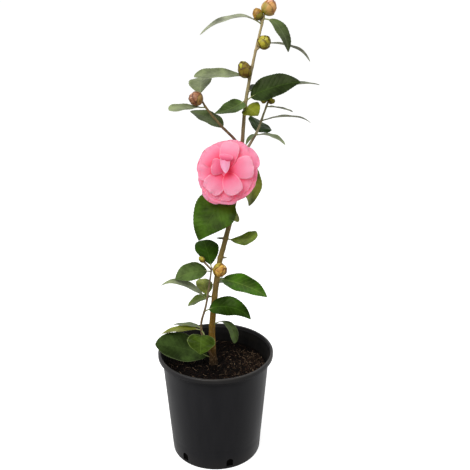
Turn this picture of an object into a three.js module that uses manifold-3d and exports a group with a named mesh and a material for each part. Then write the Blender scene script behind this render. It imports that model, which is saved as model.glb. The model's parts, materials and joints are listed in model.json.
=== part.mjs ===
// A young camellia standing in its nursery pot: one leaning trunk that runs on as a leader,
// two side shoots at the fork, a thin shoot from the foot, leathery leaves, fat flower buds
// and one open double bloom. Millimetres, +Z up, origin in the middle of the pot's underside.
// Compass azimuths count from +X towards +Y. A rise is the angle above level.

import * as THREE from 'three';
import { mergeVertices } from 'three/addons/utils/BufferGeometryUtils.js';
import Module from 'manifold-3d';

const wasm = await Module();
wasm.setup();

// ---------- Driving sizes ----------

const clearance = 0.3;
const cutMargin = 0.05;

const pot = {
  height: 192,
  rimRadius: 100,
  bandRadius: 97.6,
  shoulderRadius: 92.6,
  footRadius: 78.2,
  wall: 2.2,
  floor: 4,
  lipHeight: 8,
  bandHeight: 12,
  stepHeight: 38,
  step: 0.9,
  sides: 40,
};
const drain = { count: 6, first: -73.5, width: 12, height: 16.5, sill: 4, depth: 16 };
const mix = { top: 163, rings: 5, sides: 36, lump: 2.2, level: 16 };

// Each line of growth is one curve; the limbs and the foliage stems are lengths of it.
const lines = {
  main: {
    foot: 6,
    tip: 1.9,
    flare: 3.4,
    points: [
      [-4, 5, 160],
      [-5, 5, 180],
      [-6, 4, 225],
      [-3, 2, 270],
      [7, 0, 352],
      [18, 0, 397],
      [31.5, 0, 456],
      [44, 0, 548],
      [50, 0, 622],
      [60, 2, 676],
      [77, 5, 750],
    ],
  },
  left: {
    foot: 2.6,
    tip: 1.6,
    points: [
      [43, 0, 550],
      [31, -4, 567],
      [13, -8, 586],
      [-12, -12, 618],
      [-20, -14, 634],
    ],
  },
  right: {
    foot: 2.7,
    tip: 1.5,
    points: [
      [42, 0, 529],
      [54, 6, 549],
      [69, 12, 574],
      [80, 16, 603],
      [93, 20, 638],
    ],
  },
  low: {
    foot: 2.6,
    tip: 1.5,
    points: [
      [-5, 2, 176],
      [-13, -5, 194],
      [-20, -12, 215],
      [-24, -16, 250],
      [-15, -17, 288],
      [-5, -11, 352],
    ],
  },
};

// Where the leader, the shoots and the stems of the foliage begin and end, by height.
const fork = 548;
const leaderTop = 612;
const leftShootTop = 570;
const rightShootTop = 564;
const lowShootTop = 222;
const lowStemBreak = 264;

// A leaf leaves its line at a height, heads for a compass azimuth and rises or falls to its
// tip. Arch lifts the midrib as a share of the length, most at the peak. Roll turns the
// blade about its midrib, fold lifts the two halves, and broad says where it is widest. Lobe
// sweeps the rim back past the foot of a heart-shaped blade.
const leafShape = { arch: 0.1, peak: 0.5, roll: 0, fold: 0.2, broad: 0.45, petiole: 0.11, lobe: 0 };
const leafThickness = 1.1;
const petioleRadius = 1.1;
const bladeSteps = 7;
const bladeHalves = 2;

const leaderLeaves = [
  { height: 736, azimuth: -169, rise: -8.5, length: 95, width: 27, arch: 0.17, peak: 0.38, roll: -7 },
  { height: 744, azimuth: -33, rise: -47, length: 63, width: 22, arch: 0.19, peak: 0.4, roll: 24 },
  { height: 707, azimuth: 19, rise: -18, length: 94, width: 22, arch: 0.135, peak: 0.6, roll: -4 },
  { height: 659, azimuth: -170, rise: 2, length: 86, width: 32, arch: 0.05, roll: -20, broad: 0.6 },
  {
    height: 623, azimuth: -18, rise: 21, length: 91, width: 43,
    arch: 0.07, peak: 0.4, roll: 50, broad: 0.41,
  },
  { height: 626, azimuth: -145, rise: -14, length: 62, width: 30, arch: -0.06, roll: -22, broad: 0.28 },
  { height: 615, azimuth: -54, rise: -17, length: 33, width: 31, arch: 0.05, roll: 32, broad: 0.38 },
  { height: 636, azimuth: 42, rise: 2, length: 62, width: 30, arch: 0.08 },
];
const leaderBuds = [
  { height: 749, azimuth: 0, rise: 56, reach: 14, width: 21, length: 24 },
  { height: 738, azimuth: 180, rise: 62, reach: 15, width: 14, length: 18 },
  { height: 698, azimuth: -32, rise: 43, reach: 20, width: 19, length: 21 },
  { height: 655, azimuth: -140, rise: 59, reach: 20, width: 19, length: 27 },
];
const leftLeaves = [
  { height: 616, azimuth: -164, rise: -1, length: 58, width: 26, arch: 0.03, roll: -14, broad: 0.72 },
  { height: 633, azimuth: 88, rise: 22, length: 57, width: 38, arch: 0.05, roll: -14, broad: 0.62 },
  {
    height: 582, azimuth: 150, rise: 20, length: 65, width: 34,
    arch: 0.05, roll: -14, broad: 0.42, petiole: 0.05,
  },
];
const leftBuds = [
  { height: 629, azimuth: -165, rise: 8, reach: 9, width: 20, length: 22 },
];
const rightLeaves = [
  { height: 634, azimuth: 5, rise: 7, length: 77, width: 28, arch: 0.08, roll: -4 },
  { height: 612, azimuth: 26, rise: -15, length: 51, width: 20, arch: 0.04, roll: -3 },
  { height: 590, azimuth: -5, rise: -2, length: 78, width: 22, arch: 0.11, peak: 0.62, roll: -7 },
  { height: 568, azimuth: -30, rise: -11, length: 53, width: 25, arch: 0.12, peak: 0.5, roll: -6 },
  { height: 570, azimuth: 74, rise: 13, length: 45, width: 42, arch: 0.06, roll: 30, broad: 0.5 },
  { height: 570, azimuth: -118, rise: -16, length: 38, width: 8, arch: 0.1 },
];
const rightBuds = [
  { height: 621, azimuth: -170, rise: 15, reach: 9, width: 11, length: 12 },
  { height: 620, azimuth: -25, rise: 5, reach: 6, width: 8, length: 11 },
];
const lowLeaves = [
  { height: 350, azimuth: 109, rise: 40, length: 55, width: 41, arch: 0.06, broad: 0.62 },
  { height: 345, azimuth: -166, rise: -7, length: 61, width: 37, arch: 0.1, roll: -30 },
  {
    height: 296, azimuth: -166, rise: 24, length: 85, width: 24,
    arch: 0.17, peak: 0.68, roll: -10, broad: 0.36,
  },
  { height: 300, azimuth: 102, rise: 12, length: 54, width: 28, arch: 0.1 },
  {
    height: 274, azimuth: -20, rise: -1, length: 82, width: 38,
    arch: 0.2, peak: 0.55, roll: 30, broad: 0.4,
  },
];
const lowBuds = [
  { height: 349, azimuth: -30, rise: 6, reach: 17, width: 22, length: 23 },
  { height: 348, azimuth: 180, rise: 50, reach: 25, width: 8, length: 12 },
];
const footLeaves = [
  {
    height: 238, azimuth: -91, rise: -11, length: 62, width: 47,
    arch: 0.03, roll: -8, broad: 0.36, petiole: 0.36, lobe: 0.35,
  },
  { height: 239, azimuth: 161, rise: -15, length: 77, width: 22, arch: 0.07, roll: -4 },
  { height: 244, azimuth: 136, rise: -15, length: 72, width: 22, arch: 0.02, roll: 6 },
];

// The leaves that spring from the trunk itself are nodes of their own, lowest first.
const trunkLeaves = {
  leaf_over_rim: {
    height: 171, azimuth: -168, rise: 22.5, length: 109, width: 53,
    arch: 0.05, roll: -38, broad: 0.56,
  },
  leaf_over_mix: {
    height: 236, azimuth: -40, rise: -17, length: 53, width: 20,
    arch: 0.46, peak: 0.5, broad: 0.74, petiole: 0.2,
  },
  leaf_low_left: {
    height: 294, azimuth: 167, rise: -25, length: 52, width: 30,
    arch: 0.06, roll: -8, broad: 0.62,
  },
  leaf_low_right: {
    height: 326, azimuth: -24, rise: -11, length: 92, width: 41,
    arch: 0.07, roll: 18, broad: 0.4,
  },
  leaf_low_back: { height: 316, azimuth: 55, rise: -20, length: 66, width: 30, arch: 0.08 },
  leaf_curled: {
    height: 399.5, azimuth: -24, rise: 12, length: 57, width: 33,
    arch: -0.1, roll: 24, broad: 0.72,
  },
  leaf_mid_back: {
    height: 431, azimuth: 56, rise: -2, length: 25, width: 19,
    arch: 0.05, roll: 60, broad: 0.55,
  },
  leaf_under_bloom: {
    height: 476, azimuth: -151, rise: -45, length: 97, width: 69,
    arch: 0.105, roll: -42, fold: 0.08, broad: 0.34,
  },
  leaf_behind_bloom: { height: 505, azimuth: 118, rise: 4, length: 70, width: 34, arch: 0.15 },
  leaf_beside_bloom: { height: 528, azimuth: 8, rise: -79, length: 76, width: 48, arch: 0.13, roll: 48 },
};

const bloom = {
  height: 517,
  centre: [20, -33, 521],
  azimuth: -102,
  rise: 22,
  heart: 10,
  stalk: 2.4,
  petalThickness: 1.2,
  petalSteps: 5,
};
// Reach is how far a ring's petals spread from the bloom's axis; front and lip are how far
// forward of its heart they start and end.
const petalRings = [
  { count: 7, turn: 12, reach: 49, width: 46, front: -2, lip: 2, crown: 3, shuffle: 2.4 },
  { count: 6, turn: 40, reach: 37, width: 36, front: 1, lip: 13, crown: 4, shuffle: 1.8 },
  { count: 4, turn: 20, reach: 18, width: 24, front: 5, lip: 20, crown: 3, shuffle: 1.2 },
];
const heartBud = { width: 15, length: 26, forward: 14 };

const colours = {
  pot: '#232427',
  mix: '#2e211b',
  trunk: '#8a6238',
  shoot: '#7d6650',
  leaf: '#2f5a2c',
  petal: '#fb8ba4',
};

// ---------- Solids ----------

const up = new THREE.Vector3(0, 0, 1);

/** The unit vector for a compass azimuth and a rise, both in degrees. */
function heading(azimuth, rise) {
  const polar = THREE.MathUtils.degToRad(90 - rise);
  const turn = THREE.MathUtils.degToRad(azimuth);
  return new THREE.Vector3(
    Math.sin(polar) * Math.cos(turn),
    Math.sin(polar) * Math.sin(turn),
    Math.cos(polar),
  );
}

/** Moves each corner of a geometry to the place that a function gives for it. */
function bend(geometry, place) {
  const position = geometry.getAttribute('position');
  const corner = new THREE.Vector3();
  for (let i = 0; i < position.count; i += 1) {
    corner.fromBufferAttribute(position, i);
    const moved = place(corner);
    position.setXYZ(i, moved.x, moved.y, moved.z);
  }
  return geometry;
}

/** A closed geometry as a solid that can be cut and joined. */
function solidOf(geometry) {
  geometry.deleteAttribute('normal');
  geometry.deleteAttribute('uv');
  const merged = mergeVertices(geometry, 1e-4);
  const corners = merged.index.array;
  const faces = [];
  for (let i = 0; i < corners.length; i += 3) {
    const [a, b, c] = corners.slice(i, i + 3);
    if (a !== b && b !== c && c !== a) faces.push(a, b, c);
  }
  return new wasm.Manifold(
    new wasm.Mesh({
      numProp: 3,
      vertProperties: new Float32Array(merged.getAttribute('position').array),
      triVerts: new Uint32Array(faces),
    }),
  );
}

/** The solid's largest body: scraps are dropped and sealed hollows are filled. */
function mainBody(solid) {
  const bodies = solid.decompose();
  return bodies.reduce((best, body) => (body.volume() > best.volume() ? body : best));
}

function fuse(solids) {
  return solids.reduce((whole, piece) => whole.add(piece));
}

/** A named mesh of one solid. */
function node(name, solid, colour, roughness, metalness = 0) {
  const mesh = mainBody(solid).getMesh();
  const geometry = new THREE.BufferGeometry();
  geometry.setAttribute('position', new THREE.BufferAttribute(mesh.vertProperties, 3));
  geometry.setIndex(new THREE.BufferAttribute(mesh.triVerts, 1));
  geometry.computeVertexNormals();
  const material = new THREE.MeshStandardMaterial({ color: colour, roughness, metalness });
  const part = new THREE.Mesh(geometry, material);
  part.name = name;
  return part;
}

// ---------- Pot and potting mix ----------

/** A closed profile of radius and height, turned round the vertical axis. */
function turned(profile, sides) {
  const points = profile.map(([radius, height]) => new THREE.Vector2(radius, height));
  return new THREE.LatheGeometry(points, sides).rotateX(Math.PI / 2);
}

/** The radius of the pot's outer wall at a height, below its shoulder. */
function wallRadius(height) {
  const share = height / (pot.height - pot.bandHeight);
  return THREE.MathUtils.lerp(pot.footRadius, pot.shoulderRadius, share);
}

function makePot() {
  const { height, rimRadius, bandRadius, wall, lipHeight, bandHeight, stepHeight, step } = pot;
  const shoulder = height - bandHeight;
  const edge = 1.2;
  const profile = [
    [0, 0],
    [pot.footRadius - edge, 0],
    [pot.footRadius, edge],
    [wallRadius(stepHeight) - step, stepHeight - step],
    [wallRadius(stepHeight), stepHeight],
    [wallRadius(shoulder), shoulder],
    [bandRadius, shoulder + edge],
    [bandRadius, height - lipHeight - edge],
    [rimRadius - edge, height - lipHeight],
    [rimRadius, height - lipHeight + edge],
    [rimRadius, height - edge],
    [rimRadius - edge, height],
    [rimRadius - 3 * edge, height],
    [rimRadius - 4 * edge, height - edge],
    [wallRadius(shoulder) - wall + 1, shoulder],
    [wallRadius(shoulder) - wall, shoulder - 4],
    [wallRadius(pot.floor) - wall, pot.floor],
    [0, pot.floor],
  ];
  const slot = new THREE.Shape();
  slot.moveTo(-drain.width / 2, 0);
  slot.lineTo(drain.width / 2, 0);
  slot.lineTo(drain.width / 2, drain.height - drain.width / 2);
  slot.absarc(0, drain.height - drain.width / 2, drain.width / 2, 0, Math.PI);
  let shell = solidOf(turned(profile, pot.sides));
  for (let i = 0; i < drain.count; i += 1) {
    const cutter = new THREE.ExtrudeGeometry(slot, {
      depth: drain.depth,
      bevelEnabled: false,
      curveSegments: 6,
    });
    cutter.rotateX(Math.PI / 2);
    cutter.translate(0, -pot.footRadius + drain.depth / 2, drain.sill);
    const fromFront = drain.first + 90 + (i * 360) / drain.count;
    cutter.rotateZ(THREE.MathUtils.degToRad(fromFront));
    shell = shell.subtract(solidOf(cutter));
  }
  return node('pot', shell, colours.pot, 0.5);
}

/** The lumpy top of the mix: a few waves crossed, calm round the trunk's foot and the wall. */
function mixTop(x, y) {
  const radius = Math.hypot(x, y);
  const fromTrunk = Math.hypot(x + 4, y - 5);
  const calm = THREE.MathUtils.smoothstep(fromTrunk, mix.level, 2 * mix.level);
  const edge = 1 - THREE.MathUtils.smoothstep(radius, 70, 86);
  const waves = Math.sin(x / 9 + 1) * Math.cos(y / 7) + Math.sin((x + y) / 5);
  return mix.top - mix.lump * calm * edge * (0.5 + 0.25 * waves);
}

function makeMix() {
  const radius = wallRadius(mix.top) - pot.wall - clearance - cutMargin;
  const footRadius = wallRadius(pot.floor) - pot.wall - clearance - cutMargin;
  const profile = [
    [0, pot.floor + clearance],
    [footRadius, pot.floor + clearance],
    [radius, mix.top],
  ];
  for (let ring = mix.rings - 1; ring >= 0; ring -= 1) {
    profile.push([(radius * ring) / mix.rings, mix.top]);
  }
  const body = bend(turned(profile, mix.sides), (corner) => {
    if (corner.z > mix.top - 1) corner.z = mixTop(corner.x, corner.y);
    return corner;
  });
  return node('potting_mix', solidOf(body), colours.mix, 0.95);
}

// ---------- Lines of growth ----------

for (const line of Object.values(lines)) {
  line.curve = new THREE.CatmullRomCurve3(line.points.map((point) => new THREE.Vector3(...point)));
}

/** How far along its line, from 0 to 1, a growing line reaches a height. */
function shareAt(line, height) {
  let low = 0;
  let high = 1;
  for (let i = 0; i < 24; i += 1) {
    const middle = (low + high) / 2;
    if (line.curve.getPointAt(middle).z < height) low = middle;
    else high = middle;
  }
  return (low + high) / 2;
}

function radiusAt(line, share) {
  const flareDepth = 8;
  const rise = share * line.curve.getLength();
  const flare = (line.flare ?? 0) * Math.exp(-rise / flareDepth);
  return THREE.MathUtils.lerp(line.foot, line.tip, share) + flare;
}

/** A tapering tube round a curve, between two shares of its length. */
function tube(curve, radius, from, to, sides, steps) {
  const stock = new THREE.CylinderGeometry(1, 1, 1, sides, steps);
  return solidOf(
    bend(stock, (corner) => {
      const share = THREE.MathUtils.lerp(from, to, corner.y + 0.5);
      const along = curve.getTangentAt(share);
      const across = new THREE.Vector3(1, 0, 0).projectOnPlane(along).normalize();
      const third = new THREE.Vector3().crossVectors(across, along);
      return curve
        .getPointAt(share)
        .addScaledVector(across, corner.x * radius(share))
        .addScaledVector(third, corner.z * radius(share));
    }),
  );
}

/** A length of a growing line, swollen by a margin where it serves as a cutter. */
function limb(line, fromHeight, toHeight, margin = 0) {
  const from = shareAt(line, fromHeight);
  const to = shareAt(line, toHeight);
  const steps = Math.max(3, Math.round(((to - from) * line.curve.getLength()) / 16));
  const sides = line.flare ? 10 : 8;
  return tube(line.curve, (share) => radiusAt(line, share) + margin, from, to, sides, steps);
}

/** The part of a limb that stands clear above the potting mix. */
function aboveMix(solid) {
  return solid.trimByPlane([0, 0, 1], mix.top + clearance);
}

const bottom = 0;
const top = 1000;
const mainCutter = limb(lines.main, bottom, top, clearance + cutMargin);

// ---------- Leaves, buds and bloom ----------

/** A hump that is 0 at both ends and 1 at the peak, with its slope. */
function hump(share, peak) {
  const side = share < peak ? peak : 1 - peak;
  const fall = (share - peak) / side;
  const droop = 2.4;
  return {
    rise: 1 - Math.abs(fall) ** droop,
    slope: (-droop * Math.sign(fall) * Math.abs(fall) ** (droop - 1)) / side,
  };
}

/** The half outline of a blade, 0 at both ends and 1 at its broadest place. */
function outline(share, broad, fullness) {
  const a = fullness * broad;
  const b = fullness * (1 - broad);
  const shape = (x) => x ** a * (1 - x) ** b;
  return shape(share) / shape(broad);
}

/** Spaces even steps so that they crowd towards both ends. */
function crowded(share) {
  return (1 - Math.cos(Math.PI * share)) / 2;
}

function makeLeaf(root, sizes) {
  const { azimuth, rise, length, width, arch, peak, roll, fold, broad, petiole, lobe } = {
    ...leafShape,
    ...sizes,
  };
  const along = heading(azimuth, rise);
  const lift = up.clone().projectOnPlane(along).normalize();
  const across = new THREE.Vector3()
    .crossVectors(along, lift)
    .applyAxisAngle(along, THREE.MathUtils.degToRad(roll));
  const midrib = (share) =>
    root
      .clone()
      .addScaledVector(along, length * share)
      .addScaledVector(lift, length * arch * hump(share, peak).rise);
  const thickness = Math.max(leafThickness, length / 80);
  const tipHalf = 0.7;
  const lobeEnd = 0.35;

  const stock = new THREE.BoxGeometry(1, 2, thickness, bladeSteps, bladeHalves, 1);
  const blade = bend(stock, (corner) => {
    const onBlade = crowded(corner.x + 0.5);
    const share = petiole + (1 - petiole) * onBlade;
    const half = Math.max(tipHalf, (width / 2) * outline(onBlade, broad, 1.5));
    const ahead = along.clone().addScaledVector(lift, arch * hump(share, peak).slope).normalize();
    const side = across.clone().projectOnPlane(ahead).normalize();
    const face = new THREE.Vector3().crossVectors(side, ahead);
    const footward = 1 - THREE.MathUtils.smoothstep(onBlade, 0, lobeEnd);
    const back = (lobe * width * Math.abs(corner.y) * footward) / 2;
    return midrib(share)
      .addScaledVector(ahead, -back)
      .addScaledVector(side, half * -corner.y)
      .addScaledVector(face, half * fold * Math.abs(corner.y) + corner.z);
  });

  const overlap = 0.1;
  const stalkEnd = petiole + overlap;
  const stalkCurve = new THREE.CatmullRomCurve3(
    [0, stalkEnd / 3, (2 * stalkEnd) / 3, stalkEnd].map(midrib),
  );
  const stalk = tube(stalkCurve, () => petioleRadius, 0, 1, 4, 2);
  return solidOf(blade).add(stalk);
}

/** An egg-shaped bud on a short stalk. */
function makeBud(root, { azimuth, rise, reach, width, length }) {
  const along = heading(azimuth, rise);
  const centre = root.clone().addScaledVector(along, reach);
  const turn = new THREE.Quaternion().setFromUnitVectors(new THREE.Vector3(0, 1, 0), along);
  const taper = 0.22;
  const egg = bend(new THREE.SphereGeometry(0.5, 10, 8), (corner) => {
    const slim = width * (1 - taper * 2 * corner.y);
    return new THREE.Vector3(corner.x * slim, corner.y * length, corner.z * slim)
      .applyQuaternion(turn)
      .add(centre);
  });
  const stalk = tube(new THREE.LineCurve3(root, centre), () => 1.6, 0, 1, 6, 1);
  return solidOf(egg).add(stalk);
}

/** One mass of foliage: a length of stem with its leaves and buds fused on. */
function makeFoliage(name, line, fromHeight, toHeight, leaves, buds) {
  const rootAt = (height) => line.curve.getPointAt(shareAt(line, height));
  const stem = limb(line, fromHeight, toHeight);
  const leafSolids = leaves.map((leaf) => makeLeaf(rootAt(leaf.height), leaf));
  const budSolids = buds.map((bud) => makeBud(rootAt(bud.height), bud));
  return node(name, fuse([stem, ...leafSolids, ...budSolids]), colours.leaf, 0.35);
}

/** A leaf that springs from the trunk, cut clear of it. */
function makeTrunkLeaf(name, leaf) {
  const root = lines.main.curve.getPointAt(shareAt(lines.main, leaf.height));
  return node(name, makeLeaf(root, leaf).subtract(mainCutter), colours.leaf, 0.35);
}

function makePetal(ring, index, facing, first, heart) {
  const turn = THREE.MathUtils.degToRad(ring.turn + (index * 360) / ring.count);
  const spread = first.clone().applyAxisAngle(facing, turn);
  const beside = new THREE.Vector3().crossVectors(facing, spread);
  const stagger = index % 2 === 0 ? 0 : bloom.petalThickness * 1.5;
  const start = 6;
  const stock = new THREE.BoxGeometry(1, 2, bloom.petalThickness, bloom.petalSteps, 2, 1);
  return solidOf(
    bend(stock, (corner) => {
      const share = crowded(corner.x + 0.5);
      const half = Math.max(1.5, (ring.width / 2) * outline(share, 0.68, 1));
      const bowed = ring.crown * Math.sin(Math.PI * share);
      const forward = THREE.MathUtils.lerp(ring.front, ring.lip, share ** 1.5) + bowed;
      const cupped = -0.05 * half * corner.y * corner.y;
      return heart
        .clone()
        .addScaledVector(spread, start + (ring.reach - start) * share)
        .addScaledVector(beside, half * corner.y)
        .addScaledVector(
          facing,
          forward + cupped + stagger * share + ring.shuffle * share * corner.y + corner.z,
        );
    }),
  );
}

function makeBloom() {
  const facing = heading(bloom.azimuth, bloom.rise);
  const heart = new THREE.Vector3(...bloom.centre);
  const first = up.clone().projectOnPlane(facing).normalize();
  const petals = petalRings.flatMap((ring) =>
    Array.from({ length: ring.count }, (_, i) => makePetal(ring, i, facing, first, heart)),
  );
  const calyx = new THREE.SphereGeometry(bloom.heart, 12, 8);
  calyx.translate(heart.x, heart.y, heart.z);
  const bud = makeBud(heart, {
    azimuth: bloom.azimuth,
    rise: bloom.rise,
    reach: heartBud.forward,
    width: heartBud.width,
    length: heartBud.length,
  });
  const joint = lines.main.curve.getPointAt(shareAt(lines.main, bloom.height));
  const stalk = tube(new THREE.LineCurve3(joint, heart), () => bloom.stalk, 0, 1, 8, 1);
  const whole = fuse([solidOf(calyx), bud, stalk, ...petals]).subtract(mainCutter);
  return node('bloom', whole, colours.petal, 0.6);
}

// ---------- The plant ----------

const camellia = new THREE.Group();
camellia.name = 'potted_camellia';

const { main, left, right, low } = lines;
const joint = clearance + cutMargin;
camellia.add(
  makePot(),
  makeMix(),
  node('trunk', aboveMix(limb(main, bottom, fork)), colours.trunk, 0.8),
  node('leader', limb(main, fork + joint, leaderTop), colours.shoot, 0.75),
  node('left_shoot', limb(left, bottom, leftShootTop).subtract(mainCutter), colours.shoot, 0.75),
  node('right_shoot', limb(right, bottom, rightShootTop).subtract(mainCutter), colours.shoot, 0.75),
  node('low_shoot', limb(low, bottom, lowShootTop).subtract(mainCutter), colours.shoot, 0.75),
  makeFoliage('leader_foliage', main, leaderTop + joint, top, leaderLeaves, leaderBuds),
  makeFoliage('left_foliage', left, leftShootTop + joint, top, leftLeaves, leftBuds),
  makeFoliage('right_foliage', right, rightShootTop + joint, top, rightLeaves, rightBuds),
  makeFoliage('foot_foliage', low, lowShootTop + joint, lowStemBreak, footLeaves, []),
  makeFoliage('low_foliage', low, lowStemBreak + joint, top, lowLeaves, lowBuds),
  ...Object.entries(trunkLeaves).map(([name, leaf]) => makeTrunkLeaf(name, leaf)),
  makeBloom(),
);

export default camellia;
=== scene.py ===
# A young camellia in its round nursery pot, with leathery leaves, fat buds and one open bloom.
# Sizes are millimetres until a mesh is made. +Z is up, and the bloom faces -Y.
import json
import math
import random

import bpy
import numpy as np
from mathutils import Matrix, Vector, noise

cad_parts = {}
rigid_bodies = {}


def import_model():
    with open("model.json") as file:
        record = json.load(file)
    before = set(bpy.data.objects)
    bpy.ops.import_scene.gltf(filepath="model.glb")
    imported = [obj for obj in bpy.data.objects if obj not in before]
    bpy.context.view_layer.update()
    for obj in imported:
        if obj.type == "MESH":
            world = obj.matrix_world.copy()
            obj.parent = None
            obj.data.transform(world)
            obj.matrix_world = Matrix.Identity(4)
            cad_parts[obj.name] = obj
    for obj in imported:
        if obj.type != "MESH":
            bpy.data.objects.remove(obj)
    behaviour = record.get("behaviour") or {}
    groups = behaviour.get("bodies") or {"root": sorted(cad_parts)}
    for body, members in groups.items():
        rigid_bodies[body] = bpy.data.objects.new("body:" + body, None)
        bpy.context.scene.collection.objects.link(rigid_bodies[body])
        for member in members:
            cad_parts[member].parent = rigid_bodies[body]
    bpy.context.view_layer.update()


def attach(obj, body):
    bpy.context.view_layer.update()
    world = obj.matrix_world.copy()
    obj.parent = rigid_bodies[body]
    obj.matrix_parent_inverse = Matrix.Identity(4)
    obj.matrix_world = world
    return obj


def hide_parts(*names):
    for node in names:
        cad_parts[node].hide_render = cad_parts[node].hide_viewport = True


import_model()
millimetre = 0.001
print("frame loaded")


# small vector helpers

up = np.array([0.0, 0.0, 1.0])


def unit(vector):
    return vector / np.linalg.norm(vector)


def rowUnit(vectors):
    return vectors / np.linalg.norm(vectors, axis=-1)[..., None]


def heading(azimuth, rise):
    turn, tilt = math.radians(azimuth), math.radians(rise)
    return np.array([math.cos(tilt) * math.cos(turn), math.cos(tilt) * math.sin(turn), math.sin(tilt)])


def across(vector, axis):
    # the part of a vector that stands square to an axis
    return unit(vector - axis * np.dot(vector, axis))


def turnAbout(vector, axis, degrees):
    angle = math.radians(degrees)
    return (vector * math.cos(angle) + np.cross(axis, vector) * math.sin(angle)
            + axis * np.dot(axis, vector) * (1 - math.cos(angle)))


def smooth(low, high, value):
    share = np.clip((value - low) / (high - low), 0, 1)
    return share * share * (3 - 2 * share)


def mixed(a, b, share):
    return a + (b - a) * share


# materials

def colour(code):
    # a screen colour such as "#8a6238" as the shader's own numbers
    parts = [int(code[i:i + 2], 16) / 255 for i in (1, 3, 5)]
    return [p / 12.92 if p <= 0.04045 else ((p + 0.055) / 1.055) ** 2.4 for p in parts] + [1.0]


def tinted(value):
    return colour(value) if isinstance(value, str) else value


class Shader:
    # a material whose nodes are wired with a few short calls
    def __init__(self, name, roughness, **sockets):
        self.material = bpy.data.materials.new(name)
        self.material.use_nodes = True
        self.tree = self.material.node_tree
        self.body = self.tree.nodes["Principled BSDF"]
        for socket, value in {"Roughness": roughness, **sockets}.items():
            self.body.inputs[socket.replace("_", " ")].default_value = value
        self.place = self.add("ShaderNodeTexCoord").outputs["Object"]

    def put(self, socket, value):
        if isinstance(value, bpy.types.NodeSocket):
            self.tree.links.new(value, socket)
        else:
            socket.default_value = value

    def add(self, kind, *values, **inputs):
        made = self.tree.nodes.new(kind)
        for socket, value in [*enumerate(values), *inputs.items()]:
            self.put(made.inputs[socket], value)
        return made

    def math(self, operation, *values):
        made = self.add("ShaderNodeMath", *values)
        made.operation = operation
        return made.outputs[0]

    def times(self, a, b, plus=0.0):
        return self.math("MULTIPLY_ADD", a, b, plus)

    def plus(self, a, b):
        return self.math("ADD", a, b)

    def minus(self, a, b):
        return self.math("SUBTRACT", a, b)

    def fromMiddle(self, value):
        return self.math("ABSOLUTE", self.minus(value, 0.5))

    def stripes(self, value):
        return self.fromMiddle(self.math("FRACT", value))

    def rimward(self, u):
        # 0 on the midline of a blade and 1 on its rim
        return self.times(self.fromMiddle(u), 2.0)

    def edge(self, u, v, side, tip, end):
        # 1 along the rim and the tip of a scale or a petal
        beside = self.ramp(self.rimward(u), (side, 0.0), (end, 1.0))
        return self.math("MAXIMUM", beside, self.ramp(v, (tip, 0.0), (end, 1.0)))

    def parts(self, vector):
        return self.add("ShaderNodeSeparateXYZ", vector).outputs

    def uv(self, name):
        made = self.add("ShaderNodeUVMap")
        made.uv_map = name
        return self.parts(made.outputs[0])[:2]

    def clouds(self, scale, detail=3.0, roughness=0.55):
        # soft noise, drawn out where its scale has three numbers
        place = self.place
        if isinstance(scale, tuple):
            place = self.add("ShaderNodeMapping", Vector=place, Scale=scale).outputs[0]
            scale = 1.0
        made = self.add("ShaderNodeTexNoise", Vector=place, Scale=scale, Detail=detail, Roughness=roughness)
        return made.outputs[0]

    def ramp(self, value, *stops):
        made = self.add("ShaderNodeValToRGB", value)
        bar = made.color_ramp
        while len(bar.elements) < len(stops):
            bar.elements.new(0.5)
        for stop, (place, tint) in zip(bar.elements, stops):
            stop.position = place
            stop.color = colour(tint) if isinstance(tint, str) else [tint, tint, tint, 1.0]
        return made.outputs[0]

    def blend(self, share, a, b, kind="MIX"):
        made = self.add("ShaderNodeMix")
        made.data_type = "RGBA"
        made.blend_type = kind
        for socket, value in ((0, share), (6, tinted(a)), (7, tinted(b))):
            self.put(made.inputs[socket], value)
        return made.outputs[2]

    def shaded(self, tint, shade):
        return self.blend(1.0, tint, shade, "MULTIPLY")

    def finish(self, tint, height=None, strength=0.3, distance=0.001, roughness=None):
        self.put(self.body.inputs["Base Color"], tinted(tint))
        if roughness is not None:
            self.put(self.body.inputs["Roughness"], roughness)
        if height is not None:
            bump = self.add("ShaderNodeBump", Height=height, Strength=strength, Distance=distance)
            self.put(self.body.inputs["Normal"], bump.outputs[0])
        return self.material


# one pile gathers sheets, tubes and chips into one joined mesh, each with a cell of its own

corners = ((0, 0), (1, 0), (1, 1), (0, 1))
cellMargin = 0.04


def closedFaces(rows, around, capped=0):
    # the quads round a stack of rings, then those that close its foot and its tip
    index = np.arange(rows * around).reshape(rows, around)
    nextTo = np.roll(index, -1, axis=1)
    walls = np.stack([index[:-1], nextTo[:-1], nextTo[1:], index[1:]], axis=-1).reshape(-1, 4)
    j = np.arange(capped)
    foot = np.stack([j, around - 1 - j, around - 2 - j, j + 1], axis=-1)
    tip = np.stack([j, j + 1, around - 2 - j, around - 1 - j], axis=-1) + (rows - 1) * around
    return np.concatenate([walls, foot, tip])


def cellPlaces(beside, along, capped, cap):
    # where the same faces' corners lie in their cell, with a thin strip for each end
    around, rows = len(beside) - 1, len(along)
    column = np.tile(np.arange(around), rows - 1)
    row = np.repeat(np.arange(rows - 1), around)
    walls = np.stack([np.stack([beside[column + a], along[row + b]], -1) for a, b in corners], axis=1)
    j = np.arange(capped)
    caps = np.stack([np.stack([(j + a) / around, j * 0 + b * cap], -1) for a, b in corners], axis=1)
    return np.concatenate([walls, caps, caps + [0, 1 - cap]])


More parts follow.
